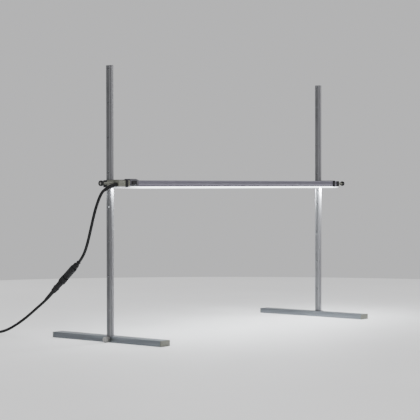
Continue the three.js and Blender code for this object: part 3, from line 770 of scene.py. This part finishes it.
def make_lock(side, sign):
    """Fluted clamping knob moulded on to a threaded stud."""
    stud, knob, body = f"{side}_lock_stud", f"{side}_lock_knob", f"{side}_lock"
    low, high = span_of(stud)
    tip = Vector((low.x if sign < 0 else high.x, (low.y + high.y) / 2, (low.z + high.z) / 2))
    turned(
        f"{stud}_finished", thread(0, high.x - low.x, 2.4), tip, (-sign, 0, 0),
        "steel", "steel", body, stud, sides=32,
    )
    low, high = span_of(knob)
    outer = Vector((high.x if sign < 0 else low.x, tip.y, tip.z))
    thick = high.x - low.x
    rings = [
        (0.0, 0.01), (0.0, 1.6), (0.25, 3.0), (0.0, 3.6), (0.0, 4.7), (0.5, 5.6, 0.3), (1.0, 5.98, 0.9),
        (thick - 1.6, 5.98, 0.9), (thick - 1.1, 5.5, 0.3), (thick - 0.6, 4.2), (thick, 4.0), (thick, 2.7),
        (thick - 5.9, 2.7), (thick - 5.9, 0.01),
    ]
    turned(
        f"{knob}_finished", rings, outer, (sign, 0, 0), "black", "black_plastic", body, knob,
        sides=100, flutes=10,
    )


make_screws()
for side, sign in SIDES:
    make_washer(side)
    make_foot_screw(side, sign)
    make_end_screw(side, sign)
    make_lock(side, sign)


# ---------- inner wiring ----------

def make_pins_and_wires():
    for name in ("live", "neutral"):
        low, high = span_of(f"{name}_pin")
        at = Vector((low.x, (low.y + high.y) / 2, (low.z + high.z) / 2))
        length = high.x - low.x
        rings = [
            (0, 0.01), (0, 0.4), (0.3, 0.75), (0.6, 0.8), (length - 0.3, 0.8), (length, 0.6),
            (length, 0.01),
        ]
        turned(
            f"{name}_pin_finished", rings, at, (1, 0, 0), "brass", "brass", "lamp", f"{name}_pin",
            sides=24,
        )
    low, high = span_of("driver_capacitor")
    at = Vector((low.x, (low.y + high.y) / 2, (low.z + high.z) / 2))
    rings = [
        (0, 0.01), (0, 1.1), (0.3, 1.42), (1.6, 1.46), (1.9, 1.3), (2.3, 1.3), (2.6, 1.46),
        (13.4, 1.46), (13.8, 1.2), (14, 1.0), (14, 0.01),
    ]
    turned("capacitor_can", rings, at, (1, 0, 0), "blue", "blue_sleeve", "lamp", "driver_capacitor", sides=32)
    refined("live_wire", "red", "red_sleeve", "lamp", 0.1)
    refined("neutral_wire", "blue", "blue_sleeve", "lamp", 0.1)


make_pins_and_wires()


# ---------- plugs and coupler on the lead ----------

INLET_Y, INLET_Z = -53.5, 343.4
INLET_FACE = -425.0
PLUG_LEAN = Vector((-0.97, 0, -0.2)).normalized()
RELIEF_AIM = Vector((-0.9, 0, -0.39)).normalized()
RELIEF_LENGTH = 19.8
PLUG_BODY = 20


def make_lamp_plug():
    """Round moulded plug: a nose in the inlet, finger rings, and a ribbed, tapered relief."""
    nose_start = Vector((INLET_FACE + 7.6, INLET_Y, INLET_Z))
    body_start = Vector((INLET_FACE - 1.2, INLET_Y, INLET_Z))
    relief_start = body_start + PLUG_LEAN * (PLUG_BODY - 1)
    bm = bmesh.new()
    add_turned(bm, [(0, 0.01), (0, 3.0), (0.4, 3.4), (9, 3.4), (9, 0.01)], nose_start, (-1, 0, 0), sides=40)
    rings = [(0, 0.01), (0, 3.7), (0.4, 4.05), (2.2, 4.2), (4.5, 4.2)]
    for i in range(5):
        at = 5 + i * 2
        rings += [(at, 4.2), (at + 0.3, 3.85), (at + 0.9, 3.85), (at + 1.2, 4.2)]
    rings += [(16, 4.2), (18.6, 4.05), (PLUG_BODY - 0.4, 3.9), (PLUG_BODY, 3.6), (PLUG_BODY, 0.01)]
    add_turned(bm, rings, body_start, PLUG_LEAN, sides=40)
    rings = [(0, 0.01), *ribbed(0, RELIEF_LENGTH, 4.0, 3.6, 7, 0.4), (RELIEF_LENGTH, 0.01)]
    add_turned(bm, rings, relief_start, RELIEF_AIM, sides=32)
    return finished("lamp_plug_finished", bm, "rubber", "black_plastic", "lamp", "lamp_plug")


ALONG_COUPLER = (COUPLER_END - COUPLER_TOP).normalized()
COUPLER_LENGTH = (COUPLER_END - COUPLER_TOP).length


def coupler_piece(name, at, rings, body="coupler", material="black", **shape):
    start = COUPLER_TOP + ALONG_COUPLER * at
    node = f"coupler_{name}"
    return turned(
        f"{node}_finished", rings, start, ALONG_COUPLER, material, "black_plastic", body, node, **shape,
    )


# Where each length of the coupler starts, from its upper end
SOCKET_AT, PLUG_AT, COLLAR_AT, LOWER_GLAND_AT = 18.3, 51.3, 52.9, 93.4


def make_coupler():
    last = COUPLER_LENGTH - LOWER_GLAND_AT
    upper = [
        (0, 0.01), (0, 4.5), (0.4, 4.9), (1.9, 4.9), (2.4, 4.4), (2.8, 3.5), (5.4, 3.5), (6.2, 4.6),
        (8.6, 6.2, 0.9), (16.2, 6.5, 0.9), (16.9, 6.1), (18, 6.1), (18, 0.01),
    ]
    socket = [
        (0, 0.01), (0, 6.9), (0.4, 7.45), (1.6, 7.9), (6.8, 7.9), (7.1, 7.5), (8.1, 7.5), (8.4, 7.9),
        (10, 7.9, 0.0), (10.6, 7.9, 0.7), (28.4, 7.9, 0.7), (29, 7.9, 0.0), (31.6, 7.8), (32.2, 7.3),
        (32.6, 6.8), (32.6, 0.01),
    ]
    plug = [
        (0, 0.01), (0, 5.6), (0.5, 6.0), (19.8, 6.0), (20.1, 6.5), (20.8, 6.8), (24.6, 6.7), (24.9, 6.3),
        (25.7, 6.3), (26, 6.5), (36.8, 6.1), (37.2, 6.9), (37.8, 7.2), (40.6, 7.2), (41.4, 6.8), (41.8, 6.2),
        (41.8, 0.01),
    ]
    collar = [
        (0, 6.5), (0, 7.7), (0.5, 8.0), (1.4, 8.2, 0.0), (1.9, 8.2, 0.6), (15.4, 8.2, 0.6), (15.9, 8.2, 0.0),
        (16.9, 8.0), (17.4, 7.7), (17.4, 6.5), (17.0, 6.4), (0.4, 6.4),
    ]
    lower = [
        (0, 0.01), (0, 5.8), (0.5, 6.2, 0.2), (1.2, 6.2, 0.9), (8.4, 6.2, 0.9), (9.2, 5.8),
        (10.4, 5.0), (12.4, 4.6),
        *ribbed(12.6, last, 4.5, 3.7, 9, 0.4), (last, 0.01),
    ]
    pieces = [
        coupler_piece("upper_gland", 0, upper, sides=96, flutes=12),
        coupler_piece("socket", SOCKET_AT, socket, sides=96, flutes=8),
        coupler_piece("plug", PLUG_AT, plug, sides=48),
        coupler_piece("collar", COLLAR_AT, collar, "collar", sides=120, flutes=24, closed=True),
        coupler_piece("lower_gland", LOWER_GLAND_AT, lower, sides=96, flutes=12),
    ]
    return pieces


def superellipse(half_wide, half_high, power=4, points=48):
    outline = []
    for i in range(points):
        angle = 2 * math.pi * i / points
        c, s = math.cos(angle), math.sin(angle)
        outline.append((
            half_wide * math.copysign(abs(c) ** (2 / power), c),
            half_high * math.copysign(abs(s) ** (2 / power), s),
        ))
    return outline


def make_wall_plug():
    """Flat plug with a waist and finger ridges, and its ribbed relief."""
    low, high = span_of("wall_plug")
    x, z = (low.x + high.x) / 2, (low.z + high.z) / 2
    back, front = 327.3, low.y
    sections = [(back, 3.6, 3.6), (back - 0.5, 5.4, 5.4), (back - 2.2, 7.4, 6.3), (back - 7, 10.3, 6.7)]
    for i in range(4):
        at = back - 9 - i * 2.2
        sections += [(at, 10.0, 6.7), (at - 0.4, 9.35, 6.25), (at - 1.2, 9.3, 6.25), (at - 1.6, 9.9, 6.7)]
    sections += [(back - 19, 10.1, 6.75), (back - 26, 12.1, 6.75), (back - 28.5, 12.55, 6.75)]
    sections += [(front + 1.2, 12.55, 6.75), (front + 0.3, 12.1, 6.4), (front, 11.4, 5.8)]
    bm = bmesh.new()
    add_rings(bm, [
        [(x + a, y, z + b) for a, b in superellipse(wide, tall)] for y, wide, tall in sections
    ])
    rings = [(0, 0.01), *ribbed(0, 23, 2.95, 4.4, 7, 0.55), (23, 0.01)]
    add_turned(bm, rings, (x, high.y, z), (0, -1, 0), sides=32)
    plug = finished("wall_plug_finished", bm, "rubber", "black_plastic", "stand", "wall_plug")
    pins = []
    for side, _ in SIDES:
        node = f"wall_plug_{side}_pin"
        low, high = span_of(node)
        tip = Vector(((low.x + high.x) / 2, low.y, (low.z + high.z) / 2))
        length = high.y - low.y
        rings = [(0, 0.01), (0.05, 0.8), (0.5, 1.5), (1.3, 1.95), (9.4, 2.0), (9.5, 1.9), (length - 0.2, 1.9)]
        rings.append((length - 0.2, 0.01))
        pins.append(turned(
            f"{node}_finished", rings, tip, (0, 1, 0), "brass", "brass", "stand", node, sides=36,
        ))
        sleeve = [(9.5, 1.92), (9.5, 2.0), (18.2, 2.0), (18.2, 1.92)]
        pins.append(turned(
            f"{node}_sleeve", sleeve, tip, (0, 1, 0), "black", "black_plastic", "stand",
            sides=36, closed=True,
        ))
    return [plug, *pins]


def make_tie():
    """Woven strap once round the bundle, drawn as a plain closed band with softened edges."""
    low, high = span_of("coil_tie")
    x = (low.x + high.x) / 2
    centre_y, centre_z = (low.y + high.y) / 2, (low.z + high.z) / 2
    half_y, half_z = (high.y - low.y) / 2, (high.z - low.z) / 2
    bm = bmesh.new()
    sections = []
    for across in (-4.0, -3.8, -3.4, 3.4, 3.8, 4.0):
        trim = 0.22 if abs(across) == 4.0 else 0.06 if abs(across) == 3.8 else 0
        sections.append((across, trim))
    outer = [
        [(x + across, centre_y + a, centre_z + b)
         for a, b in superellipse(half_y - trim, half_z - trim, 6, 72)]
        for across, trim in sections
    ]
    inner = [
        [(x + across, centre_y + a, centre_z + b)
         for a, b in superellipse(half_y - 0.75 + trim * 0.6, half_z - 0.65 + trim * 0.6, 6, 72)]
        for across, trim in reversed(sections)
    ]
    add_rings(bm, [*outer, *inner], closed=True)
    return finished("coil_tie_finished", bm, "black", "black_plastic", "stand", "coil_tie")


plug_piece = make_lamp_plug()
coupler_pieces = make_coupler()
wall_pieces = make_wall_plug()
tie_piece = make_tie()


# ---------- cords ----------

def declare_leads():
    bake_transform(upper_cord)
    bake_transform(supply_cord)


declare_leads()

# ---------- stage and light ----------

COOL = (0.93, 0.97, 1.0)
GLOW_BELOW_POWER = 3.0
GLOW_POST_POWER = {"left": 0.22, "right": 1.9}


def make_floor():
    bm = bmesh.new()
    bmesh.ops.create_circle(bm, cap_ends=True, segments=128, radius=1.9)
    mesh = bpy.data.meshes.new("floor")
    bm.to_mesh(mesh)
    bm.free()
    s = Shader("floor_paint")
    wash = s.noise(2.5, 3)
    s.set(
        Base_Color=s.ramp(wash, [(0.3, (0.84, 0.84, 0.84)), (0.7, (0.87, 0.87, 0.87))]),
        Roughness=s.spread(wash, 0.55, 0.65),
    )
    mesh.materials.append(s.material)
    floor = bpy.data.objects.new("floor", mesh)
    bpy.context.scene.collection.objects.link(floor)


def area_light(name, place, target, size, power, color=(1, 1, 1)):
    data = bpy.data.lights.new(name, "AREA")
    data.shape = "RECTANGLE"
    data.size, data.size_y = size
    data.energy = power
    data.color = color
    light = bpy.data.objects.new(name, data)
    light.location = place
    light.rotation_euler = (Vector(target) - Vector(place)).to_track_quat("-Z", "Y").to_euler()
    bpy.context.scene.collection.objects.link(light)
    return light


def lamp_glow():
    """Light that the diffuser throws on the posts and below itself. It moves with the lamp."""
    low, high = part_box("diffuser")
    under = low.z - 0.001
    made = [area_light(
        "glow_below", ((low.x + high.x) / 2, (low.y + high.y) / 2, under),
        ((low.x + high.x) / 2, (low.y + high.y) / 2, 0), (high.x - low.x - 0.08, 0.026),
        GLOW_BELOW_POWER, COOL,
    )]
    for side, _ in SIDES:
        post_low, post_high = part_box(f"{side}_post")
        middle = (post_low.x + post_high.x) / 2
        made.append(area_light(
            f"glow_{side}", (middle, high.y - 0.004, low.z - 0.001),
            (middle, post_low.y, low.z - 0.03), (0.03, 0.006), GLOW_POST_POWER[side], COOL,
        ))
    for light in made:
        light.visible_camera = False
        light.parent = frame["bodies"]["lamp"]


def light_studio():
    world = bpy.data.worlds.new("studio")
    world.use_nodes = True
    background = world.node_tree.nodes["Background"]
    background.inputs["Color"].default_value = (0.78, 0.78, 0.79, 1)
    background.inputs["Strength"].default_value = 0.8
    bpy.context.scene.world = world
    area_light("key", (-1.2, -2.4, 2.6), (0, 0, 0.2), (1.8, 1.8), 60)
    area_light("fill", (2.6, -1.6, 1.8), (0, 0, 0.2), (1.6, 1.6), 24)
    area_light("rim", (0.6, 2.6, 2.2), (0, 0, 0.3), (2.0, 1.2), 30)


make_floor()
light_studio()
lamp_glow()
